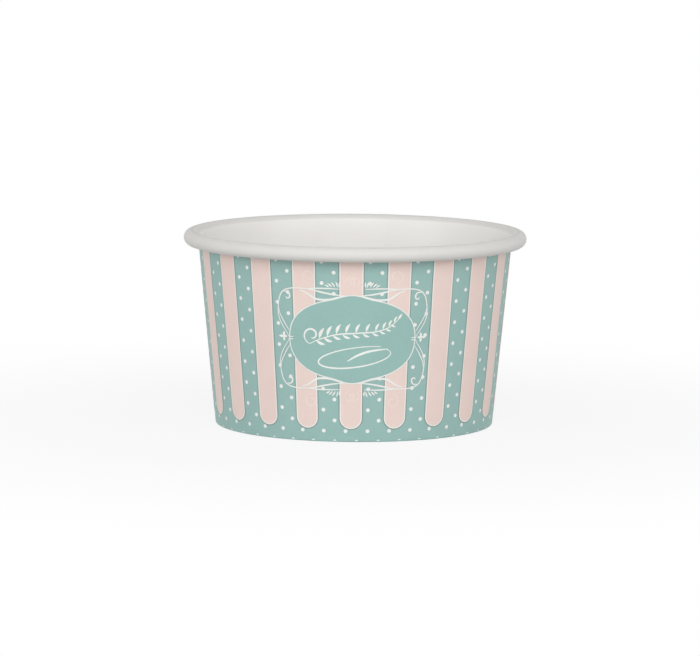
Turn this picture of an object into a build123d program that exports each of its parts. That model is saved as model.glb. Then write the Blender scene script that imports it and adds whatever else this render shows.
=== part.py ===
from build123d import *
from math import acos, atan2, ceil, cos, degrees, radians, sin, tan
import os

# Paper ice cream cup. One blank of coated board is wrapped into a cone and lapped at a side seam,
# rolled out at the rim and folded in at the foot. A bottom disc with a turned-down skirt is
# trapped in that fold.
# Millimetres. +Z is up and the origin is the centre of the circle that the cup stands on.
# The front of the print faces -Y and the seam is at the back.

# Whole cup
height = 50.75
rim_diameter = 90.0
foot_diameter = 72.9

# Boards
wall_board = 0.35
disc_board = 0.30
seal_film = 0.02  # between boards that are pressed together

# Rolled rim
roll_height = 3.74
roll_width = 4.13

# Folded foot
fold_inside_radius = 0.0  # the fold is pressed until its inside is sharp
hem_clearance = 0.6  # from the hem's edge up to the disc

# Bottom disc
disc_recess = 5.6  # from the foot up to the underside of the disc
disc_inside_radius = 0.35  # of the bend into the skirt
skirt_clearance = 0.2  # from the skirt's edge down to the inside of the fold

# Side seam
seam_direction = 90.0  # degrees from +X
lap_width = 7.0
ramp_width = 4.5  # over which the outer ply climbs onto the inner one
lap_foot = 0.6  # height of the lap's lower edge, above the fold
lap_tuck = 0.4  # the lap's top edge reaches this far up into the roll

# Round bends are made of narrow flats, no deeper than this inside the true curve
facet_depth = 0.15

# The wall leans out from the foot to the inner side of the roll
foot_middle = (foot_diameter - wall_board) / 2
rim_middle = rim_diameter / 2 - roll_width + wall_board / 2
lean = atan2(rim_middle - foot_middle, height - roll_height / 2)
taper = degrees(lean)
wall_heading = 90 - taper  # in the plane of radius and height


def heading_vector(heading, length=1.0):
    return Vector(length * cos(radians(heading)), length * sin(radians(heading)))


def wall_radius(level, offset=0.0):
    # radius at a height of the line that lies this far outside the middle of the wall board
    return foot_middle + level * tan(lean) + offset / cos(lean)


def bend_points(point, heading, radius, turn):
    # Points round an arc, as many as keep the flats between them within facet_depth of it.
    # A bend with no radius is a sharp corner, and adds none.
    if radius <= 0:
        return []
    widest = degrees(2 * acos(max(1 - facet_depth / radius, 0)))
    count = ceil(abs(turn) / widest)
    half_step = turn / count / 2
    chord = 2 * radius * sin(radians(abs(half_step)))
    points = []
    for number in range(count):
        point += heading_vector(heading + (2 * number + 1) * half_step, chord)
        points.append(point)
    return points


def board_section(start, heading, moves, board):
    # Section of a bent strip, drawn in the plane of radius and height. A move is a straight run
    # and then a bend: (run, radius to the middle of the board, turn in degrees, left positive).
    sides = []
    for offset in (board / 2, -board / 2):
        angle = heading
        points = [start + heading_vector(heading + 90, offset)]
        for run, radius, turn in moves:
            points.append(points[-1] + heading_vector(angle, run))
            if turn:
                side_radius = radius - offset if turn > 0 else radius + offset
                points += bend_points(points[-1], angle, side_radius, turn)
            angle += turn
        sides.append(points)
    left, right = sides
    return Plane.XZ * Polygon(*left, *reversed(right), align=None)


def side_wall():
    # Foot: the hem comes down inside the skirt, turns out under it and goes up as the wall
    fold_radius = fold_inside_radius + wall_board / 2
    fold_gap = wall_board + disc_board + 2 * seal_film
    fold_flat = (fold_gap - 2 * fold_radius) / cos(lean)
    wall_foot = wall_board / 2 + fold_radius * (1 - sin(lean))
    hem_foot = Vector(
        wall_radius(wall_foot) - 2 * fold_radius * cos(lean) - fold_flat,
        wall_foot + 2 * fold_radius * sin(lean),
    )
    hem_length = (disc_recess - hem_clearance - hem_foot.Y) / cos(lean)
    # Rim: over the top, round the outside, back under and up against the wall inside the roll
    roll_radius = (roll_height - wall_board) / 2
    tail_radius = roll_radius - wall_board - seal_film
    wall_top = height - wall_board / 2 - roll_radius * (1 - sin(lean))
    outer_centre = rim_diameter / 2 - wall_board / 2 - roll_radius
    crown_start = wall_radius(wall_top) + roll_radius * cos(lean)
    tail_foot = height - roll_height + wall_board / 2 + tail_radius * (1 + sin(lean))
    tail_start = wall_radius(tail_foot, wall_board + seal_film) + tail_radius * cos(lean)
    section = board_section(
        hem_foot + heading_vector(wall_heading, hem_length),
        wall_heading - 180,
        [
            (hem_length, fold_radius, 90 + taper),
            (fold_flat, fold_radius, 90 - taper),
            ((wall_top - wall_foot) / cos(lean), roll_radius, taper - 90),
            (outer_centre - crown_start, roll_radius, -180),
            (outer_centre - tail_start, tail_radius, -90 - taper),
        ],
        wall_board,
    )
    wall = revolve(section, Axis.Z)
    return wall + side_lap(height - roll_height + lap_tuck)


def side_lap(top):
    # The outer ply climbs over the skived edge of the inner one and ends in a square edge.
    # Its root lies inside the inner ply, so that the two are one board.
    middle = wall_radius(height / 2)
    lap_angle = degrees(lap_width / middle)
    ramp_angle = degrees(ramp_width / middle)
    lap_start = seam_direction - lap_angle / 2
    ramp_start = lap_start - ramp_angle
    face = wall_board / 2
    ply_section = Plane.XZ * Polygon(
        (wall_radius(lap_foot), lap_foot),
        (wall_radius(lap_foot, face + wall_board), lap_foot),
        (wall_radius(top, face + wall_board), top),
        (wall_radius(top), top),
        align=None,
    )
    lap = revolve(Rot(0, 0, lap_start) * ply_section, Axis.Z, lap_angle)
    ramp_ends = []
    for level in (lap_foot, top):
        corners = [
            (wall_radius(level, face), ramp_start),
            (wall_radius(level, face + wall_board), lap_start),
            (wall_radius(level), lap_start),
            (wall_radius(level), ramp_start),
        ]
        outline = Polygon(*[heading_vector(turn, radius) for radius, turn in corners], align=None)
        ramp_ends.append(Pos(0, 0, level) * outline)
    return lap + loft(ramp_ends, ruled=True)


def bottom_disc():
    skirt_offset = -(wall_board + disc_board) / 2 - seal_film
    bend_radius = disc_inside_radius + disc_board / 2
    skirt_foot = wall_board + skirt_clearance
    disc_level = disc_recess + disc_board / 2
    skirt_top = disc_level - bend_radius * (1 + sin(lean))
    skirt_top_radius = wall_radius(skirt_top, skirt_offset)
    disc_run = skirt_top_radius - bend_radius * cos(lean)
    section = board_section(
        Vector(wall_radius(skirt_foot, skirt_offset), skirt_foot),
        wall_heading,
        [
            ((skirt_top - skirt_foot) / cos(lean), bend_radius, 90 + taper),
            (disc_run, 0, 0),
        ],
        disc_board,
    )
    return revolve(section, Axis.Z)


os.makedirs("parts", exist_ok=True)
export_step(side_wall(), "parts/side_wall.step")
export_step(bottom_disc(), "parts/bottom_disc.step")
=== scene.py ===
import math
import bpy
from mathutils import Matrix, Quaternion, Vector, noise


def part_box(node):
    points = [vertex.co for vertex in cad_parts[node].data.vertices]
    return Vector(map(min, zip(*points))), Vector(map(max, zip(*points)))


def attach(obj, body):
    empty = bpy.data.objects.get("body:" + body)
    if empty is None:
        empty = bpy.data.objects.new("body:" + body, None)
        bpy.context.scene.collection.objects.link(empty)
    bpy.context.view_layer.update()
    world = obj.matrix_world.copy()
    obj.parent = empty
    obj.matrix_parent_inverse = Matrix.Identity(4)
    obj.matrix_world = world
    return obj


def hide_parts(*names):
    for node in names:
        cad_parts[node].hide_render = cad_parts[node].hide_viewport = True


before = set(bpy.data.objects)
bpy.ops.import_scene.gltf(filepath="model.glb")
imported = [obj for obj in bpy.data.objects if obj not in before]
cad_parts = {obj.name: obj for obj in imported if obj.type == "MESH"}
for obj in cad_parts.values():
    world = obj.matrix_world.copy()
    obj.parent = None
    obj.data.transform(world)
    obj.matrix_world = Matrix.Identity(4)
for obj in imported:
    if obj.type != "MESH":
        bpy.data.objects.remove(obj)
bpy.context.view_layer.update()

# Paper ice cream cup: wrapped printed board with a rolled rim, a side seam and a trapped bottom disc
mm = 0.001
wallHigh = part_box("side_wall")[1]
discLow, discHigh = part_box("bottom_disc")


# Small tools that the pieces share

def linearColour(hexText):
    # sRGB hex as seen on screen, as the linear colour that the nodes want
    parts = [int(hexText[i:i + 2], 16) / 255 for i in (1, 3, 5)]
    return [p / 12.92 if p <= 0.04045 else ((p + 0.055) / 1.055) ** 2.4 for p in parts] + [1.0]


def addNode(tree, kind, settings, links=()):
    # one node, with its settings or input values, and links as (input name, output it comes from)
    node = tree.nodes.new(kind)
    for name, value in settings.items():
        if name in node.inputs:
            node.inputs[name].default_value = value
        else:
            setattr(node, name, value)
    for name, output in links:
        tree.links.new(output, node.inputs[name])
    return node


def heading(degreesUp, length=1.0):
    return Vector((length * math.cos(math.radians(degreesUp)), length * math.sin(math.radians(degreesUp))))


def bentStrip(start, angle, moves, board):
    # Both faces of a bent strip of board in the plane of radius and height, with round bends.
    # A move is (stretch name, run, steps on the run, radius to mid board, turn, steps round the turn)
    faces = []
    for side in (1, -1):
        offset = side * board / 2
        turned = angle
        points = [(start + heading(turned + 90, offset), moves[0][0])]
        for stretch, run, runSteps, radius, turn, turnSteps in moves:
            at = points[-1][0]
            for i in range(runSteps):
                points.append((at + heading(turned, run * (i + 1) / runSteps), stretch))
            bend = math.copysign(1, turn)
            own = radius - bend * offset
            centre = points[-1][0] + heading(turned + 90 * bend, own)
            if own > 0 and turn:
                for i in range(turnSteps):
                    spoke = turned - 90 * bend + turn * (i + 1) / turnSteps
                    points.append((centre + heading(spoke, own), "bend" + stretch))
            turned += turn
        faces.append(points)
    return faces


def smoothLine(corners, steps=8):
    # soft curve through a few chosen points
    ends = [corners[0]] + list(corners) + [corners[-1]]
    line = []
    for a, b, c, d in zip(ends, ends[1:], ends[2:], ends[3:]):
        for i in range(steps):
            t = i / steps
            line.append(tuple(
                0.5 * (2 * q + (r - p) * t + (2 * p - 5 * q + 4 * r - s) * t ** 2
                       + (3 * q - p - 3 * r + s) * t ** 3)
                for p, q, r, s in zip(a, b, c, d)))
    return line + [tuple(corners[-1])]


def makeMesh(name, points, faces, materials, slots=None, sharpAngle=35):
    mesh = bpy.data.meshes.new(name)
    mesh.from_pydata(points, [], faces)
    for material in materials:
        mesh.materials.append(material)
    if slots:
        mesh.polygons.foreach_set("material_index", slots)
    mesh.validate()
    mesh.shade_smooth()
    mesh.set_sharp_from_angle(angle=math.radians(sharpAngle))
    piece = bpy.data.objects.new(name, mesh)
    bpy.context.collection.objects.link(piece)
    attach(piece, "root")
    return piece


# Materials

boardFinish = {
    "white": "#EBE9E6",          # inner face, bleached board under a clear food film
    "paintedShadeRollWhite": "#D9D7D4",      # the same face round the roll, painted greyer: shade painted into its colour, as the lamps light the roll more than the inside
    "cutEdge": "#D9D1C3",        # bare fibres where the board was cut
    "teal": "#95B8B3",
    "labelTeal": "#93B9B2",
    "pink": "#E9D3CB",
    "palePink": "#EDDBD3",
    "keyline": "#F2EEE8",
    "overprint": "#829693",      # where the pink ink's edge runs over the teal
    "whiteInk": "#EDEEEA",
    "fibreWidth": 0.35 * mm,     # clumps of fibre in the board, seen as a faint tooth
    "fibreHeight": 0.05 * mm,
    "cloudWidth": 7 * mm,        # uneven ink lay-down over a few millimetres
    "speckWidth": 0.6 * mm,
    "boardIor": 1.50,            # polyethylene film and ink varnish
    "filmRoughness": 0.42,
    "inkRoughness": 0.5,
    "rubbedRoughness": 0.62,
    "rawRoughness": 0.8,
    "glossChange": 0.05,         # up and down from the roughness, with the clouds
    "coatRoughness": 0.28,
    "noiseLow": 0.3,             # nearly all of the noise lies between these two
    "noiseHigh": 0.7,
}
rollFinish = {
    "bendStart": 4.13 * mm,      # in from the outside of the rim, as are the next two
    "paintedShadeFrom": 3.8 * mm,
    "paintedCrownLine": 2.2 * mm,       # painted shade: a fine darker line round the top of the roll
    "paintedCrownLineWidth": 1.0 * mm,
    "crownShade": 0.88,
}


def printedBoard(name, hexText, roughness=boardFinish["inkRoughness"], cloud=0.02, speck=0.02, tooth=0.06,
                 filmWeight=0.0):
    # Clay-coated cup board, flexo printed: the colour is a little cloudy where the ink took
    # unevenly, with a fine tooth from the fibres under it that breaks up the soft shine
    material = bpy.data.materials.new(name)
    material.use_nodes = True
    tree = material.node_tree
    shader = tree.nodes["Principled BSDF"]
    shader.inputs["IOR"].default_value = boardFinish["boardIor"]
    shader.inputs["Coat Weight"].default_value = filmWeight
    shader.inputs["Coat Roughness"].default_value = boardFinish["coatRoughness"]
    low, high = boardFinish["noiseLow"], boardFinish["noiseHigh"]
    glossChange = boardFinish["glossChange"]
    place = addNode(tree, "ShaderNodeTexCoord", {})
    clouds = addNode(tree, "ShaderNodeTexNoise", {"Scale": 1 / boardFinish["cloudWidth"], "Detail": 3.0},
                     [("Vector", place.outputs["Object"])])
    specks = addNode(tree, "ShaderNodeTexNoise", {"Scale": 1 / boardFinish["speckWidth"], "Detail": 2.0},
                     [("Vector", place.outputs["Object"])])
    cloudShade = addNode(tree, "ShaderNodeMapRange",
                         {"From Min": low, "From Max": high, "To Min": 1 - cloud, "To Max": 1 + cloud},
                         [("Value", clouds.outputs["Fac"])])
    speckShade = addNode(tree, "ShaderNodeMapRange",
                         {"From Min": low, "From Max": high, "To Min": 1 - speck, "To Max": 1 + speck},
                         [("Value", specks.outputs["Fac"])])
    shade = addNode(tree, "ShaderNodeMath", {"operation": "MULTIPLY"})
    tree.links.new(cloudShade.outputs["Result"], shade.inputs[0])
    tree.links.new(speckShade.outputs["Result"], shade.inputs[1])
    colour = addNode(tree, "ShaderNodeHueSaturation", {"Color": linearColour(hexText)},
                     [("Value", shade.outputs["Value"])])
    tree.links.new(colour.outputs["Color"], shader.inputs["Base Color"])
    gloss = addNode(tree, "ShaderNodeMapRange",
                    {"From Min": low, "From Max": high,
                     "To Min": roughness - glossChange, "To Max": roughness + glossChange},
                    [("Value", clouds.outputs["Fac"])])
    tree.links.new(gloss.outputs["Result"], shader.inputs["Roughness"])
    fibres = addNode(tree, "ShaderNodeTexNoise",
                     {"Scale": 1 / boardFinish["fibreWidth"], "Detail": 4.0, "Roughness": 0.6},
                     [("Vector", place.outputs["Object"])])
    bump = addNode(tree, "ShaderNodeBump", {"Strength": tooth, "Distance": boardFinish["fibreHeight"]},
                   [("Height", fibres.outputs["Fac"])])
    tree.links.new(bump.outputs["Normal"], shader.inputs["Normal"])
    return material


def curledBoard(name, hexText, shadedRollHex, rimOutside):
    # The food side of the board carried over the rim, matt round the roll: painted shade greys its colour
    # there, and a fine line of painted shade runs round the top of the roll
    material = printedBoard(name, hexText, boardFinish["rubbedRoughness"], cloud=0.008, speck=0.008)
    tree = material.node_tree
    place = addNode(tree, "ShaderNodeTexCoord", {})
    flat = addNode(tree, "ShaderNodeVectorMath", {"operation": "MULTIPLY"})
    tree.links.new(place.outputs["Object"], flat.inputs[0])
    flat.inputs[1].default_value = (1, 1, 0)
    radius = addNode(tree, "ShaderNodeVectorMath", {"operation": "LENGTH"})
    tree.links.new(flat.outputs["Vector"], radius.inputs[0])
    # painted shade: the white turns to the greyer roll colour across the roll
    ramp = addNode(tree, "ShaderNodeMapRange",
                   {"interpolation_type": "SMOOTHSTEP", "From Min": rimOutside - rollFinish["bendStart"],
                    "From Max": rimOutside - rollFinish["paintedShadeFrom"]},
                   [("Value", radius.outputs["Value"])])
    mix = addNode(tree, "ShaderNodeMix", {"data_type": "RGBA"})
    tree.links.new(ramp.outputs["Result"], mix.inputs[0])
    mix.inputs[6].default_value = linearColour(hexText)
    mix.inputs[7].default_value = linearColour(shadedRollHex)
    shade = next(node for node in tree.nodes if node.bl_idname == "ShaderNodeHueSaturation")
    tree.links.new(mix.outputs[2], shade.inputs["Color"])
    fromCrown = addNode(tree, "ShaderNodeMath", {"operation": "SUBTRACT"})
    tree.links.new(radius.outputs["Value"], fromCrown.inputs[0])
    fromCrown.inputs[1].default_value = rimOutside - rollFinish["paintedCrownLine"]
    away = addNode(tree, "ShaderNodeMath", {"operation": "ABSOLUTE"})
    tree.links.new(fromCrown.outputs["Value"], away.inputs[0])
    # painted shade: a fine darker line round the top of the roll, multiplied into the roll's colour
    paintedCrownShade = addNode(tree, "ShaderNodeMapRange",
                     {"interpolation_type": "SMOOTHSTEP", "From Min": 0.0,
                      "From Max": rollFinish["paintedCrownLineWidth"] / 2,
                      "To Min": rollFinish["crownShade"], "To Max": 1.0},
                     [("Value", away.outputs["Value"])])
    paintedCrownShaded = addNode(tree, "ShaderNodeMath", {"operation": "MULTIPLY"})
    tree.links.new(shade.inputs["Value"].links[0].from_socket, paintedCrownShaded.inputs[0])
    tree.links.new(paintedCrownShade.outputs["Result"], paintedCrownShaded.inputs[1])
    tree.links.new(paintedCrownShaded.outputs["Value"], shade.inputs["Value"])
    return material


# bleached board under a clear food film: a clean white with a faint, soft sheen
whiteBoard = printedBoard("filmCoatedWhiteBoard", boardFinish["white"], boardFinish["filmRoughness"],
                          cloud=0.008, speck=0.006, filmWeight=0.1)
# the same face over the roll: matt, greyed with painted shade, and with a line of painted shade round its top
shadedRollBoard = curledBoard("curledWhiteBoardPaintedShade", boardFinish["white"], boardFinish["paintedShadeRollWhite"], wallHigh.x)
# water-based ink on clay coating: a flat satin teal, a little cloudy where the plate laid it thin
tealPrint = printedBoard("tealFlexoInkOnBoard", boardFinish["teal"])
# a second lay of teal over stripes and dots: fuller, and a shade greener
labelPrint = printedBoard("tealLabelInk", boardFinish["labelTeal"])
# pale pink, too light to show much of the cloudiness
pinkPrint = printedBoard("pinkFlexoInkOnBoard", boardFinish["pink"], cloud=0.012, speck=0.012)
# bare coating left as a hairline between two inks: a pale, warm edge round each stripe
keylinePrint = printedBoard("paleKeylineInk", boardFinish["keyline"])
# a tint one step lighter than the pink: curls that only just show
faintPrint = printedBoard("palePinkInk", boardFinish["palePink"])
# pink over teal where the plates overlap: a thin greyish shadow line
overprint = printedBoard("overprintedInkEdge", boardFinish["overprint"])
# opaque white ink: clear dots and pen lines that stand out from the teal
whitePrint = printedBoard("whiteInk", boardFinish["whiteInk"])
# uncoated fibres at a guillotined edge: creamier, matt and rough
cutEdge = printedBoard("rawCutBoardEdge", boardFinish["cutEdge"], boardFinish["rawRoughness"],
                       speck=0.06, tooth=0.3)
print("materials ready")


# Wall: one board, hem, foot fold, cone and rolled rim, lapped at the back

wallPlan = {
    "board": 0.35 * mm,
    "skirtSpace": 0.34 * mm,     # the disc's skirt and two films between wall and hem
    "rollHeight": 3.74 * mm,
    "rollWidth": 4.13 * mm,
    "tailFilm": 0.02 * mm,       # between the wall and the end of the roll
    "footRadius": 36.45 * mm,
    "hemTop": 5.0 * mm,
    "seamTurn": 180.0,           # degrees round from the front
    "lapWidth": 7.0 * mm,
    "rampWidth": 4.5 * mm,
    "lapFoot": 0.6 * mm,
    "lapTop": 47.4 * mm,
    "columns": 576,
    "ridges": 144,               # pressed into the hem by a toothed wheel
    "ridgeDepth": 0.09 * mm,
    "ridgeFade": 1.0 * mm,       # they fade out over this height above the fold
    "unevenWidth": 15 * mm,      # the cone isn't quite round, over this distance
    "unevenDepth": 0.06 * mm,
    "unevenRise": 0.5,           # the same unevenness reaches twice as far up the wall as round it
    "rollDent": 0.10 * mm,       # where the lap passes through the roll
    "rollDentTurn": 0.8,         # degrees
    "edgeRise": 0.02 * mm,       # the lap's two ends step up within this height
    "edgeTurn": 0.02,            # and its free edge within this many degrees
    "skivedEdge": 0.04 * mm,     # what is left of the inner ply at its thinned edge, felt inside the cup
}
rimRadius = wallHigh.x
cupHeight = wallHigh.z
footMiddle = wallPlan["footRadius"] - wallPlan["board"] / 2
rimMiddle = rimRadius - wallPlan["rollWidth"] + wallPlan["board"] / 2
lean = math.atan2(rimMiddle - footMiddle, cupHeight - wallPlan["rollHeight"] / 2)
taper = math.degrees(lean)
middleRadius = footMiddle + cupHeight / 2 * math.tan(lean)
lapHalf = math.degrees(wallPlan["lapWidth"] / middleRadius) / 2
lapStart = wallPlan["seamTurn"] - lapHalf
lapEnd = wallPlan["seamTurn"] + lapHalf
rampStart = lapStart - math.degrees(wallPlan["rampWidth"] / middleRadius)


def boardRadius(level, offset=0.0):
    return footMiddle + level * math.tan(lean) + offset / math.cos(lean)


def climb(turn):
    # how far the outer ply has climbed onto the inner one, 0 to 1
    turn %= 360
    if turn <= rampStart or turn > lapEnd:
        return 0.0
    t = min((turn - rampStart) / (lapStart - rampStart), 1.0)
    return t * t * (3 - 2 * t)


def innerStep(turn):
    # the inner ply's thinned edge stands off the inside of the wall and fades away under the lap
    turn %= 360
    if turn <= rampStart or turn > lapEnd:
        return 0.0
    return wallPlan["skivedEdge"] * (lapEnd - turn) / (lapEnd - rampStart)


def hemRidge(turn, level):
    # upright ridges on the inside of the foot, fading out towards the fold
    fade = min(max((level - wallPlan["board"]) / wallPlan["ridgeFade"], 0), 1)
    wave = 0.5 - 0.5 * math.cos(math.radians(turn * wallPlan["ridges"]))
    return wallPlan["ridgeDepth"] * wave * fade


def unevenness(turn, level):
    # never outwards, so that the rim stays within its size
    spot = Vector((math.sin(math.radians(turn)), -math.cos(math.radians(turn)), 0)) * middleRadius
    spot.z = level * wallPlan["unevenRise"]
    return wallPlan["unevenDepth"] * (noise.noise(spot / wallPlan["unevenWidth"]) - 1) / 2


def around(turn, radius, level):
    # turn is in degrees to the right of the front, which faces -Y
    angle = math.radians(turn)
    return (radius * math.sin(angle), -radius * math.cos(angle), level)


def wallPoint(turn, level, lift):
    # a point this far above the printed face of the wall
    radius = boardRadius(level, wallPlan["board"] / 2 + lift) + unevenness(turn, level)
    if wallPlan["lapFoot"] <= level <= wallPlan["lapTop"]:
        radius += wallPlan["board"] * climb(turn)
    return around(turn, radius, level)


def wallSection():
    board = wallPlan["board"]
    foldRadius = board / 2
    foldFlat = (board + wallPlan["skirtSpace"] - 2 * foldRadius) / math.cos(lean)
    wallFoot = board / 2 + foldRadius * (1 - math.sin(lean))
    hemFoot = Vector((boardRadius(wallFoot) - 2 * foldRadius * math.cos(lean) - foldFlat,
                      wallFoot + 2 * foldRadius * math.sin(lean)))
    hemRun = (wallPlan["hemTop"] - hemFoot.y) / math.cos(lean)
    rollRadius = (wallPlan["rollHeight"] - board) / 2
    tailRadius = rollRadius - board - wallPlan["tailFilm"]
    wallTop = cupHeight - board / 2 - rollRadius * (1 - math.sin(lean))
    outerCentre = rimRadius - board / 2 - rollRadius
    crownStart = boardRadius(wallTop) + rollRadius * math.cos(lean)
    tailFoot = cupHeight - wallPlan["rollHeight"] + board / 2 + tailRadius * (1 + math.sin(lean))
    tailStart = boardRadius(tailFoot, board + wallPlan["tailFilm"]) + tailRadius * math.cos(lean)
    return bentStrip(hemFoot + heading(90 - taper, hemRun), -90 - taper, [
        ("Hem", hemRun, 4, foldRadius, 90 + taper, 5),
        ("Foot", foldFlat, 1, foldRadius, 90 - taper, 5),
        ("Wall", (wallTop - wallFoot) / math.cos(lean), 16, rollRadius, taper - 90, 8),
        ("Crown", outerCentre - crownStart, 2, rollRadius, -180, 14),
        ("Tail", outerCentre - tailStart, 2, tailRadius, -90 - taper, 6),
    ], board)


def sideWall():
    inner, outer = wallSection()
    # rows close above and below the two ends of the lap
    lapFoot, lapTop, edgeRise = wallPlan["lapFoot"], wallPlan["lapTop"], wallPlan["edgeRise"]
    levels = (lapFoot - edgeRise, lapFoot, lapTop, lapTop + edgeRise)
    rows = []
    for (point, stretch), following in zip(outer, outer[1:] + [None]):
        rows.append((point, stretch, "outer"))
        if following and following[1] == "Wall":
            for level in levels:
                if point.y < level < following[0].y:
                    rows.append((Vector((boardRadius(level, wallPlan["board"] / 2), level)), "Wall", "outer"))
    rows = [(point, stretch, "inner") for point, stretch in inner] + rows[::-1]
    turns = [i * 360 / wallPlan["columns"] for i in range(wallPlan["columns"])]
    turns += [rampStart, rampStart + wallPlan["edgeTurn"], lapStart, lapEnd, lapEnd + wallPlan["edgeTurn"]]
    turns = sorted(turns)
    points = []
    for turn in turns:
        dent = math.exp(-((turn - lapEnd) / wallPlan["rollDentTurn"]) ** 2) * wallPlan["rollDent"]
        for point, stretch, side in rows:
            radius = point.x + unevenness(turn, point.y)
            if side == "outer" and stretch in ("Wall", "bendFoot") and lapFoot <= point.y <= lapTop:
                radius += wallPlan["board"] * climb(turn)
            if side == "inner" and stretch == "Wall":
                radius -= innerStep(turn)
            if side == "outer" and stretch == "Hem":
                radius -= hemRidge(turn, point.y)
            if stretch in ("Crown", "bendCrown", "bendWall"):
                radius -= dent * (point.x - boardRadius(point.y)) / wallPlan["rollWidth"]
            points.append(around(turn, radius, point.y))
    count = len(rows)
    faces, slots = [], []
    rollStretches = ("bendWall", "Crown", "bendCrown", "Tail", "bendTail")
    for column in range(len(turns)):
        here, there = column * count, (column + 1) % len(turns) * count
        stepEdge = abs(turns[column] - lapEnd) < 1e-6
        for row in range(count):
            above = (row + 1) % count
            faces.append((here + row, here + above, there + above, there + row))
            stretch, side = rows[row][1], rows[row][2]
            slot = 0
            if side != rows[above][2]:
                slot = 2                                  # cut ends of the board
            elif side == "outer" and stretch == "Wall":
                slot = 2 if stepEdge else 1               # the lap's square edge is bare board
            elif side == "outer" and stretch == "bendFoot":
                slot = 1
            elif side == "inner" and stretch in rollStretches:
                slot = 3
            slots.append(slot)
    finishes = [whiteBoard, tealPrint, cutEdge, shadedRollBoard]
    wall = makeMesh("sideWallBoard", points, faces, finishes, slots)
    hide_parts("side_wall")


sideWall()
print("wall rolled and seamed")


# Bottom disc, with its skirt between the wall and the hem

discPlan = {
    "board": 0.30 * mm,
    "film": 0.02 * mm,
    "bendRadius": 0.5 * mm,      # to the middle of the board
    "columns": 216,
    "rings": 10,
    "centreRadius": 2 * mm,      # inside this the disc closes in one fan of faces
}


def bottomDisc():
    board = discPlan["board"]
    offset = -(wallPlan["board"] + board) / 2 - discPlan["film"]
    discLevel = discHigh.z - board / 2
    skirtTop = discLevel - discPlan["bendRadius"] * (1 + math.sin(lean))
    topRadius = boardRadius(skirtTop, offset)
    start = Vector((boardRadius(discLow.z, offset), discLow.z + board / 2 * math.sin(lean)))
    discRun = topRadius - discPlan["bendRadius"] * math.cos(lean) - discPlan["centreRadius"]
    upper, lower = bentStrip(start, 90 - taper, [
        ("Skirt", (skirtTop - start.y) / math.cos(lean), 4, discPlan["bendRadius"], 90 + taper, 8),
        ("Disc", discRun, discPlan["rings"], 0, 0, 0),
    ], board)
    rows = [point for point, stretch in upper] + [point for point, stretch in lower][::-1]
    turns = [i * 360 / discPlan["columns"] for i in range(discPlan["columns"])]
    points = [around(turn, point.x, point.y) for turn in turns for point in rows]
    count, faces, slots = len(rows), [], []
    middle = len(upper) - 1
    for column in range(len(turns)):
        here, there = column * count, (column + 1) % len(turns) * count
        for row in range(count):
            above = (row + 1) % count
            if row != middle:
                faces.append((here + row, here + above, there + above, there + row))
                slots.append(1 if above == 0 else 0)
    # the fans round the centre, on the upper and the lower face
    for row in (middle, middle + 1):
        centre = len(points)
        points.append((0, 0, rows[row].y))
        for column in range(len(turns)):
            corner = [centre, column * count + row, (column + 1) % len(turns) * count + row]
            faces.append(corner if row == middle else corner[::-1])
            slots.append(0)
    disc = makeMesh("bottomDiscBoard", points, faces, [whiteBoard, cutEdge], slots)
    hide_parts("bottom_disc")


bottomDisc()
print("bottom disc in place")


# Print: each ink lies on the wall as a thin skin, one over the other

printPlan = {
    "stripePitch": 17.55,        # degrees round the cup
    "stripeCount": 20,
    "firstStripe": -9,           # stripes are counted from the one at the front
    "frontTurn": -1.22,          # the front stripe stands this far left of the view
    "stripeWidth": 7.88,
    "stripeFoot": 3.75 * mm,
    "stripeTop": 48.0 * mm,
    "stripeColumns": 8,
    "stripeRows": 32,
    "keylineWidth": 0.28 * mm,
    "overprintWidth": 0.28 * mm,
    "dotWidth": 1.0 * mm,
    "dotRowPitch": 5.49 * mm,
    "dotRows": 9,
    "dotCorners": 20,
    "dotFoot": 2.9 * mm,
    "dotColumns": (-2.05, 2.35),  # degrees of the two dot columns from the middle of their teal band
    "inkLift": 0.015 * mm,       # for each layer, counted up from the board
    "layers": {"dots": 1, "overprint": 1.5, "stripes": 2, "keylines": 3, "label": 4, "pen": 5, "outline": 8},
    "strokeRise": 0.000006 * mm,  # for each point drawn before, so that crossing strokes never share a plane
}
labelPlan = {
    "turn": -0.85,
    "level": 26.8 * mm,
    "halfWidth": 16.4 * mm,
    "halfHeight": 10.5 * mm,
    "roundness": 2.3,            # 2 would be an ellipse
    "peak": 0.95 * mm,           # small ogee point at the top and the bottom
    "peakWidth": 6.0 * mm,
    "outline": 0.28 * mm,
    "scrollWidth": 0.36 * mm,
    "leafWidth": 0.42 * mm,
    "starWidth": 0.68 * mm,
    "curlWidth": 0.4 * mm,
    "sprigTilt": 8,              # degrees
    "sprigRise": 1.5,            # mm, from the middle of the label
}


def liftOf(layer):
    # height of an ink layer above the board
    return printPlan["inkLift"] * printPlan["layers"][layer]


def stripeTurns():
    last = printPlan["firstStripe"] + printPlan["stripeCount"]
    return [printPlan["frontTurn"] + printPlan["stripePitch"] * i
            for i in range(printPlan["firstStripe"], last)]


def stripeHalf(level):
    # half the stripe's width in degrees, with a round lower end
    half = printPlan["stripeWidth"] / 2
    endRadius = math.radians(half) * boardRadius(printPlan["stripeFoot"])
    rise = level - printPlan["stripeFoot"]
    if rise >= endRadius:
        return half
    return half * math.sqrt(max(1 - (1 - rise / endRadius) ** 2, 0))


def stripeLevels():
    endRadius = math.radians(printPlan["stripeWidth"] / 2) * boardRadius(printPlan["stripeFoot"])
    foot = [printPlan["stripeFoot"] + endRadius * (1 - math.cos(math.radians(a))) for a in range(0, 91, 6)]
    rise = printPlan["stripeTop"] - foot[-1]
    rows = printPlan["stripeRows"]
    return foot + [foot[-1] + rise * i / rows for i in range(1, rows + 1)]


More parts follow.
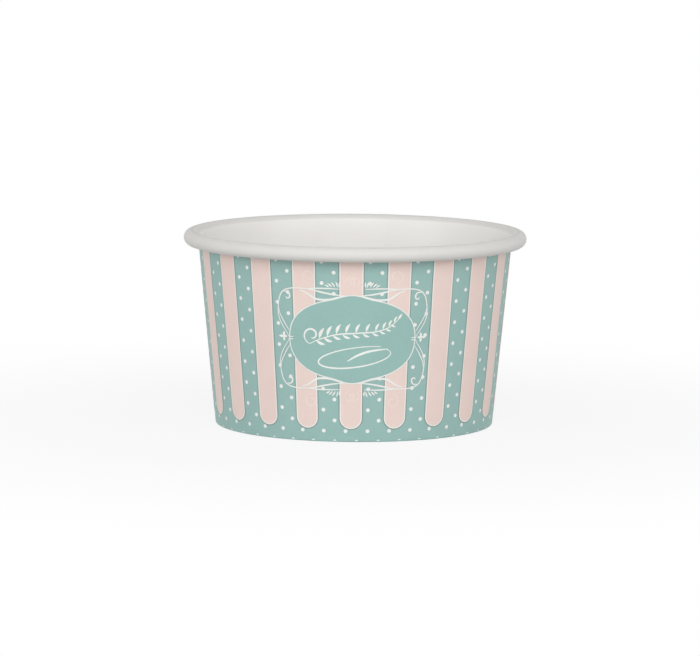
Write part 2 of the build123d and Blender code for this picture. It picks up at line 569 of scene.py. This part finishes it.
def stripes():
    points, faces = [], []
    across = printPlan["stripeColumns"]
    for turn in stripeTurns():
        base = len(points)
        levels = stripeLevels()
        for level in levels:
            half = stripeHalf(level)
            for i in range(across + 1):
                points.append(wallPoint(turn + half * (2 * i / across - 1), level, liftOf("stripes")))
        for row in range(len(levels) - 1):
            for i in range(across):
                a = base + row * (across + 1) + i
                faces.append((a, a + 1, a + across + 2, a + across + 1))
    return makeMesh("pinkStripes", points, faces, [pinkPrint])


def stripeEdging(name, start, width, layer, material):
    # a line that follows the stripes' outline, from start to start + width outside it
    points, faces = [], []
    endRadius = math.radians(printPlan["stripeWidth"] / 2) * boardRadius(printPlan["stripeFoot"])
    levels = stripeLevels()
    edge = [(-1, level) for level in levels[::-1]] + [(1, level) for level in levels[1:]]
    for turn in stripeTurns():
        base = len(points)
        for side, level in edge:
            # round the end, the line's width turns from sideways to downwards
            slope = min((level - levels[0]) / endRadius - 1, 0)
            for reach in (start, start + width):
                out = side * math.degrees(reach * math.sqrt(1 - slope ** 2) / boardRadius(level))
                points.append(wallPoint(turn + side * stripeHalf(level) + out, level + reach * slope,
                                        liftOf(layer)))
        for i in range(len(edge) - 1):
            a = base + 2 * i
            faces.append((a, a + 1, a + 3, a + 2))
    return makeMesh(name, points, faces, [material])


def labelEdge(angle):
    # outline of the label in metres from its centre: a full oval with a small peak above and below
    power = 2 / labelPlan["roundness"]
    c, s = math.cos(angle), math.sin(angle)
    x = labelPlan["halfWidth"] * math.copysign(abs(c) ** power, c)
    y = labelPlan["halfHeight"] * math.copysign(abs(s) ** power, s)
    if abs(x) < labelPlan["peakWidth"]:
        y += math.copysign(labelPlan["peak"] * math.cos(math.pi * x / 2 / labelPlan["peakWidth"]) ** 2, s)
    return x, y


def labelPoint(x, y, lift):
    radius = boardRadius(labelPlan["level"], wallPlan["board"] / 2)
    return wallPoint(labelPlan["turn"] + math.degrees(x / radius), labelPlan["level"] + y, lift)


def underLabel(turn, level):
    radius = boardRadius(labelPlan["level"], wallPlan["board"] / 2)
    margin = printPlan["dotWidth"] / 3
    x = math.radians(turn - labelPlan["turn"]) * radius / (labelPlan["halfWidth"] + margin)
    y = (level - labelPlan["level"]) / (labelPlan["halfHeight"] + margin)
    return abs(x) ** labelPlan["roundness"] + abs(y) ** labelPlan["roundness"] < 1


def dotPlaces():
    # Staggered rows, two columns to each teal band, with one row passing under the stripes' feet
    rowPitch, foot = printPlan["dotRowPitch"], printPlan["dotFoot"]
    halfPitch = printPlan["stripePitch"] / 2
    left, right = printPlan["dotColumns"]
    turns = stripeTurns()
    places = [(turn + left, foot) for turn in turns] + [(turn + right, foot - rowPitch / 2) for turn in turns]
    for band in [turns[0] - halfPitch] + [turn + halfPitch for turn in turns]:
        for row in range(printPlan["dotRows"]):
            places.append((band + left, foot + row * rowPitch))
            places.append((band + right, foot + (row - 0.5) * rowPitch))
    top = printPlan["stripeTop"] - printPlan["dotWidth"]
    # the lap's lower edge hides the lowest dots at the seam
    places = [(turn, level) for turn, level in places if level > wallPlan["lapFoot"] or not climb(turn)]
    return [(turn, level) for turn, level in places if level < top and not underLabel(turn, level)]


def dots():
    points, faces = [], []
    corners = printPlan["dotCorners"]
    for turn, level in dotPlaces():
        base = len(points)
        # the blank was cut through the dots that lie on the lap's free edge, and folded
        # through the lowest
        edge = lapEnd if turn < lapEnd else lapEnd + 360
        points.append(wallPoint(turn, max(level, wallPlan["board"]), liftOf("dots")))
        for i in range(corners):
            angle = 2 * math.pi * i / corners
            side = math.degrees(printPlan["dotWidth"] / 2 * math.cos(angle) / boardRadius(level))
            rise = printPlan["dotWidth"] / 2 * math.sin(angle)
            points.append(wallPoint(min(turn + side, edge), max(level + rise, wallPlan["board"]),
                                    liftOf("dots")))
        for i in range(corners):
            faces.append((base, base + 1 + i, base + 1 + (i + 1) % corners))
    return makeMesh("whiteDots", points, faces, [whitePrint])


def labelField():
    spokes, rings = 144, 14
    points = [labelPoint(0, 0, liftOf("label"))]
    faces = []
    for ring in range(1, rings + 1):
        for spoke in range(spokes):
            x, y = labelEdge(2 * math.pi * spoke / spokes)
            points.append(labelPoint(x * ring / rings, y * ring / rings, liftOf("label")))
    for spoke in range(spokes):
        after = (spoke + 1) % spokes
        faces.append((0, 1 + spoke, 1 + after))
        for ring in range(rings - 1):
            a = 1 + ring * spokes
            faces.append((a + spoke, a + spokes + spoke, a + spokes + after, a + after))
    return makeMesh("labelOval", points, faces, [labelPrint])


def placed(line, flipX=1, flipY=1):
    # a line drawn in mm for the upper right quarter of the label, in metres and in its own quarter
    return [(x * flipX * mm, y * flipY * mm) for x, y in line]


def ribbon(line, width, points, faces, layer, ends=0.45, closed=False):
    # a pen line on the wall, with this share of its width at the ends
    base, count = len(points), len(line)
    own = liftOf(layer) + base * printPlan["strokeRise"]
    for i, (x, y) in enumerate(line):
        before = line[i - 1] if closed or i else line[i]
        after = line[(i + 1) % count] if closed or i < count - 1 else line[i]
        along = Vector((after[0] - before[0], after[1] - before[1])).normalized()
        share = ends + (1 - ends) * math.sin(math.pi * i / (count - 1))
        half = width / 2 * share
        points.append(labelPoint(x - along.y * half, y + along.x * half, own))
        points.append(labelPoint(x + along.y * half, y - along.x * half, own))
    for i in range(count if closed else count - 1):
        a, b = base + 2 * i, base + 2 * ((i + 1) % count)
        faces.append((a, a + 1, b + 1, b))


def spiral(x, y, radius, endRadius, startAngle, turns, steps=28):
    # small curl that ends a pen line
    line = []
    for i in range(steps + 1):
        t = i / steps
        angle = math.radians(startAngle + 360 * turns * t)
        own = radius + (endRadius - radius) * t
        line.append((x + own * math.cos(angle), y + own * math.sin(angle)))
    return line


def leaf(x, y, length, angle, bow=0.0):
    # middle line of a small leaf, bowed to the left by this share of its length
    along, across = heading(angle, length), heading(angle + 90, length * bow)
    steps = 8
    line = []
    for i in range(steps + 1):
        swell = math.sin(math.pi * i / steps)
        line.append((x + along.x * i / steps + across.x * swell, y + along.y * i / steps + across.y * swell))
    return line


def labelFrame():
    # Scrolls round the label, drawn once for the upper right and mirrored to the other quarters
    pen = labelPlan["scrollWidth"]
    lines = [
        # up from the pinch at the side, round the corner and in to the peak of the label
        (smoothLine([(16.6, 0.2), (17.1, 1.2), (18.1, 2.7), (19.0, 4.4), (19.4, 6.0), (19.4, 7.5),
                     (19.2, 9.2), (18.7, 10.9), (17.9, 12.0), (16.8, 12.6), (15.5, 12.9), (13.8, 13.0),
                     (11.6, 12.9), (9.2, 12.5), (7.0, 12.0), (4.75, 11.6), (2.6, 11.4)]), 0.9),
        # its twin on the inside of the pinch
        (smoothLine([(16.5, 1.9), (17.5, 3.4), (18.4, 5.0), (19.0, 6.3), (19.2, 7.6)]), 0.8),
        # thick stroke on the shoulder of the label
        (smoothLine([(13.4, 12.5), (11.8, 12.0), (10.4, 11.1), (9.0, 10.35), (7.0, 10.2), (5.3, 10.4),
                     (3.6, 10.9), (1.9, 11.4)]), 1.5),
        # strand between the two, thick over the teal bands
        (smoothLine([(10.6, 12.85), (9.2, 12.5), (7.0, 12.0), (4.75, 11.6), (2.6, 11.4)]), 1.25),
        # stroke over the top
        (smoothLine([(12.6, 12.9), (9.3, 13.1), (6.4, 13.15), (3.2, 13.05)]), 1.0),
        # curl in the corner, and the short bar at the pinch
        (smoothLine([(17.6, 11.9), (16.7, 11.95), (16.1, 11.3), (16.15, 10.5), (16.8, 10.25),
                     (17.1, 10.7)]), 1.2),
        (smoothLine([(15.4, 0.3), (16.6, 0.3)]), 0.7),
    ]
    leaves = [(3.4, 13.4, 1.5, 95), (3.7, 13.45, 1.6, 72), (4.4, 13.45, 1.6, 55), (5.1, 13.45, 1.5, 42),
              (5.8, 13.4, 1.3, 30)]
    star = [(18.0, 0.3, 1.5, 0), (18.1, 0.3, 1.3, 95), (18.1, 0.3, 1.3, -95), (18.1, 0.3, 1.0, 180)]
    points, faces = [], []
    for flipX in (1, -1):
        for flipY in (1, -1):
            for line, width in lines:
                ribbon(placed(line, flipX, flipY), pen * width, points, faces, "pen")
            for leafX, leafY, length, angle in leaves:
                bowed = leaf(leafX, leafY, length, angle, 0.1)
                ribbon(placed(bowed, flipX, flipY), labelPlan["leafWidth"], points, faces, "pen", ends=0.1)
        for leafX, leafY, length, angle in star:
            ray = leaf(leafX, leafY, length, angle)
            ribbon(placed(ray, flipX), labelPlan["starWidth"], points, faces, "pen", ends=0.1)
    return makeMesh("labelScrolls", points, faces, [whitePrint])


def stripeScrolls():
    # faint curls printed on the pink above and below the label
    curls = [spiral(10.9, 16.2, 1.9, 0.6, -100, 1.15), spiral(0.4, 14.9, 1.5, 0.4, -60, 1.1)]
    points, faces = [], []
    for flipX in (1, -1):
        for flipY in (1, -1):
            for curl in curls:
                ribbon(placed(curl, flipX, flipY), labelPlan["curlWidth"], points, faces, "label")
    return makeMesh("stripeScrolls", points, faces, [faintPrint])


def labelLine():
    steps = 240
    line = [labelEdge(2 * math.pi * i / steps) for i in range(steps)]
    points, faces = [], []
    ribbon(line, labelPlan["outline"], points, faces, "outline", ends=1, closed=True)
    return makeMesh("labelOutline", points, faces, [whitePrint])


def labelFlourish():
    # Plain leafy sprig with a pen loop under it, both rising a little to the right, in mm
    tilt = math.radians(labelPlan["sprigTilt"])
    stem = smoothLine([(-11.4, -1.3), (-8.5, -0.4), (-4.0, 0.3), (1.0, 0.0), (6.0, -0.3), (9.5, 0.3),
                       (12.0, 1.9)])
    strokes = [(stem, 0.36, 0.45), (spiral(-10.4, 0.9, 2.3, 0.7, -115, -0.98), 0.5, 0.45)]
    for i in range(10):
        x, y = stem[8 + 4 * i]
        size = 1 - 0.045 * i
        strokes.append((leaf(x, y + 0.15, 3.1 * size, 58, 0.1), 0.85 * size, 0.08))
        strokes.append((leaf(x - 0.9, y - 0.15, 2.5 * size, -32, -0.1), 0.75 * size, 0.08))
    strokes.append((leaf(stem[-1][0], stem[-1][1], 1.9, 48), 0.6, 0.08))
    # the loop narrows a little as the pen goes round
    loop = [((10.3 - 0.003 * i) * math.cos(math.radians(i)),
             (2.7 - 0.001 * i) * math.sin(math.radians(i)) - 6.3) for i in range(48, 392, 8)]
    strokes.append((loop, 0.4, 0.45))
    strokes.append((smoothLine([(-2.2, -6.9), (0.8, -5.7), (4.2, -5.1), (8.6, -5.2)]), 0.6, 0.3))
    points, faces = [], []
    for line, width, ends in strokes:
        turned = [(x * math.cos(tilt) - y * math.sin(tilt),
                   x * math.sin(tilt) + y * math.cos(tilt) + labelPlan["sprigRise"]) for x, y in line]
        ribbon(placed(turned), width * mm, points, faces, "pen", ends)
    return makeMesh("labelFlourish", points, faces, [whitePrint])


keylineWidth = printPlan["keylineWidth"]
inks = [
    dots(),
    stripes(),
    stripeEdging("stripeKeylines", 0, keylineWidth, "keylines", keylinePrint),
    stripeEdging("stripeOverprint", keylineWidth, printPlan["overprintWidth"], "overprint", overprint),
    stripeScrolls(),
    labelField(),
    labelFrame(),
    labelLine(),
    labelFlourish(),
]
print("print laid on the wall")


# Floor, lights and camera

studio = {
    "cameraDistance": 1200 * mm,
    "cameraLens": 234.6,
    "sensorWidth": 36,
    "cameraUp": 7.15,            # degrees above the horizon
    "cameraRoll": 0.42,
    "aimSide": -1.18 * mm,
    "aimDrop": 0.5 * mm,
    "farClip": 50,               # metres, as is the floor's reach
    "ambient": 0.43,
    "floorWhite": "#DCDCDC",
    "floorReach": 6.0,
    "floorGlowNear": 0.86,       # share of plain white in the floor as the camera sees it
    "floorGlowFar": 1.0,
    "glowStart": 40 * mm,        # from the cup's axis: the soft shadow round the foot is deepest up to here
    "glowReach": 200 * mm,       # and from here on the floor is plain white
    "lampTarget": (0, 0, 0.03),
}
lamps = [
    # name, place, width, depth, watts, whether gloss shows it
    ("frontBox", (0.03, -1.04, 0.75), 0.7, 0.7, 6.15, True),
    ("leftBox", (-0.94, -0.66, 0.36), 0.6, 0.6, 3.4, True),
    ("rightBox", (0.94, -0.66, 0.36), 0.6, 0.6, 3.0, True),
    ("backStrip", (0, 1.2, 0.06), 1.2, 0.1, 3.5, False),
]


def softBox(name, place, width, depth, power, shine):
    light = bpy.data.lights.new(name, "AREA")
    light.shape = "RECTANGLE"
    light.size = width
    light.size_y = depth
    light.energy = power
    lamp = bpy.data.objects.new(name, light)
    lamp.location = place
    lamp.visible_glossy = shine
    lamp.visible_camera = False
    towards = Vector(studio["lampTarget"]) - Vector(place)
    lamp.rotation_euler = towards.to_track_quat("-Z", "Y").to_euler()
    bpy.context.collection.objects.link(lamp)


def backgroundRays(tree):
    # 1 for the rays that see the background: the camera's own, and those off gloss or through glass
    rays = addNode(tree, "ShaderNodeLightPath", {})
    direct = addNode(tree, "ShaderNodeMath", {"operation": "ADD"})
    tree.links.new(rays.outputs["Is Camera Ray"], direct.inputs[0])
    tree.links.new(rays.outputs["Is Glossy Ray"], direct.inputs[1])
    seen = addNode(tree, "ShaderNodeMath", {"operation": "ADD", "use_clamp": True})
    tree.links.new(direct.outputs["Value"], seen.inputs[0])
    tree.links.new(rays.outputs["Is Transmission Ray"], seen.inputs[1])
    return seen.outputs["Value"]


def studioFloor():
    mesh = bpy.data.meshes.new("studioFloor")
    reach = studio["floorReach"]
    corners = [(-reach, -reach, 0), (reach, -reach, 0), (reach, reach, 0), (-reach, reach, 0)]
    mesh.from_pydata(corners, [], [(0, 1, 2, 3)])
    floor = bpy.data.objects.new("studioFloor", mesh)
    bpy.context.collection.objects.link(floor)
    material = bpy.data.materials.new("paleStudioPaper")
    material.use_nodes = True
    tree = material.node_tree
    tree.nodes.remove(tree.nodes["Principled BSDF"])
    matte = addNode(tree, "ShaderNodeBsdfDiffuse", {"Color": linearColour(studio["floorWhite"])})
    glow = addNode(tree, "ShaderNodeEmission", {"Color": (1, 1, 1, 1), "Strength": 1.0})
    place = addNode(tree, "ShaderNodeTexCoord", {})
    away = addNode(tree, "ShaderNodeVectorMath", {"operation": "LENGTH"})
    tree.links.new(place.outputs["Object"], away.inputs[0])
    glowShare = addNode(tree, "ShaderNodeMapRange",
                        {"interpolation_type": "SMOOTHSTEP",
                         "From Min": studio["glowStart"], "From Max": studio["glowReach"],
                         "To Min": studio["floorGlowNear"], "To Max": studio["floorGlowFar"]},
                        [("Value", away.outputs["Value"])])
    share = addNode(tree, "ShaderNodeMath", {"operation": "MULTIPLY"})
    tree.links.new(backgroundRays(tree), share.inputs[0])
    tree.links.new(glowShare.outputs["Result"], share.inputs[1])
    mix = addNode(tree, "ShaderNodeMixShader", {})
    tree.links.new(share.outputs["Value"], mix.inputs[0])
    tree.links.new(matte.outputs["BSDF"], mix.inputs[1])
    tree.links.new(glow.outputs["Emission"], mix.inputs[2])
    tree.links.new(mix.outputs["Shader"], tree.nodes["Material Output"].inputs["Surface"])
    mesh.materials.append(material)


def studioWorld():
    world = bpy.data.worlds.new("studioWorld")
    bpy.context.scene.world = world
    world.use_nodes = True
    tree = world.node_tree
    background = tree.nodes["Background"]
    background.inputs["Color"].default_value = (1, 1, 1, 1)
    level = addNode(tree, "ShaderNodeMapRange", {"To Min": studio["ambient"], "To Max": 1.0},
                    [("Value", backgroundRays(tree))])
    tree.links.new(level.outputs["Result"], background.inputs["Strength"])


def studioCamera():
    centre = Vector((0, 0, cupHeight / 2))
    up = math.radians(studio["cameraUp"])
    place = centre + Vector((0, -math.cos(up), math.sin(up))) * studio["cameraDistance"]
    aim = centre + Vector((studio["aimSide"], 0, -studio["aimDrop"]))
    data = bpy.data.cameras.new("studioCamera")
    data.lens = studio["cameraLens"]
    data.sensor_width = studio["sensorWidth"]
    data.clip_end = studio["farClip"]
    camera = bpy.data.objects.new("studioCamera", data)
    camera.location = place
    look = (aim - place).to_track_quat("-Z", "Y")
    roll = Quaternion((0, 0, 1), math.radians(studio["cameraRoll"]))
    camera.rotation_euler = (look @ roll).to_euler()
    bpy.context.collection.objects.link(camera)
    bpy.context.scene.camera = camera


studioFloor()
studioWorld()
studioCamera()
for lamp in lamps:
    softBox(*lamp)
bpy.context.scene.view_settings.view_transform = "Standard"
print("studio ready")
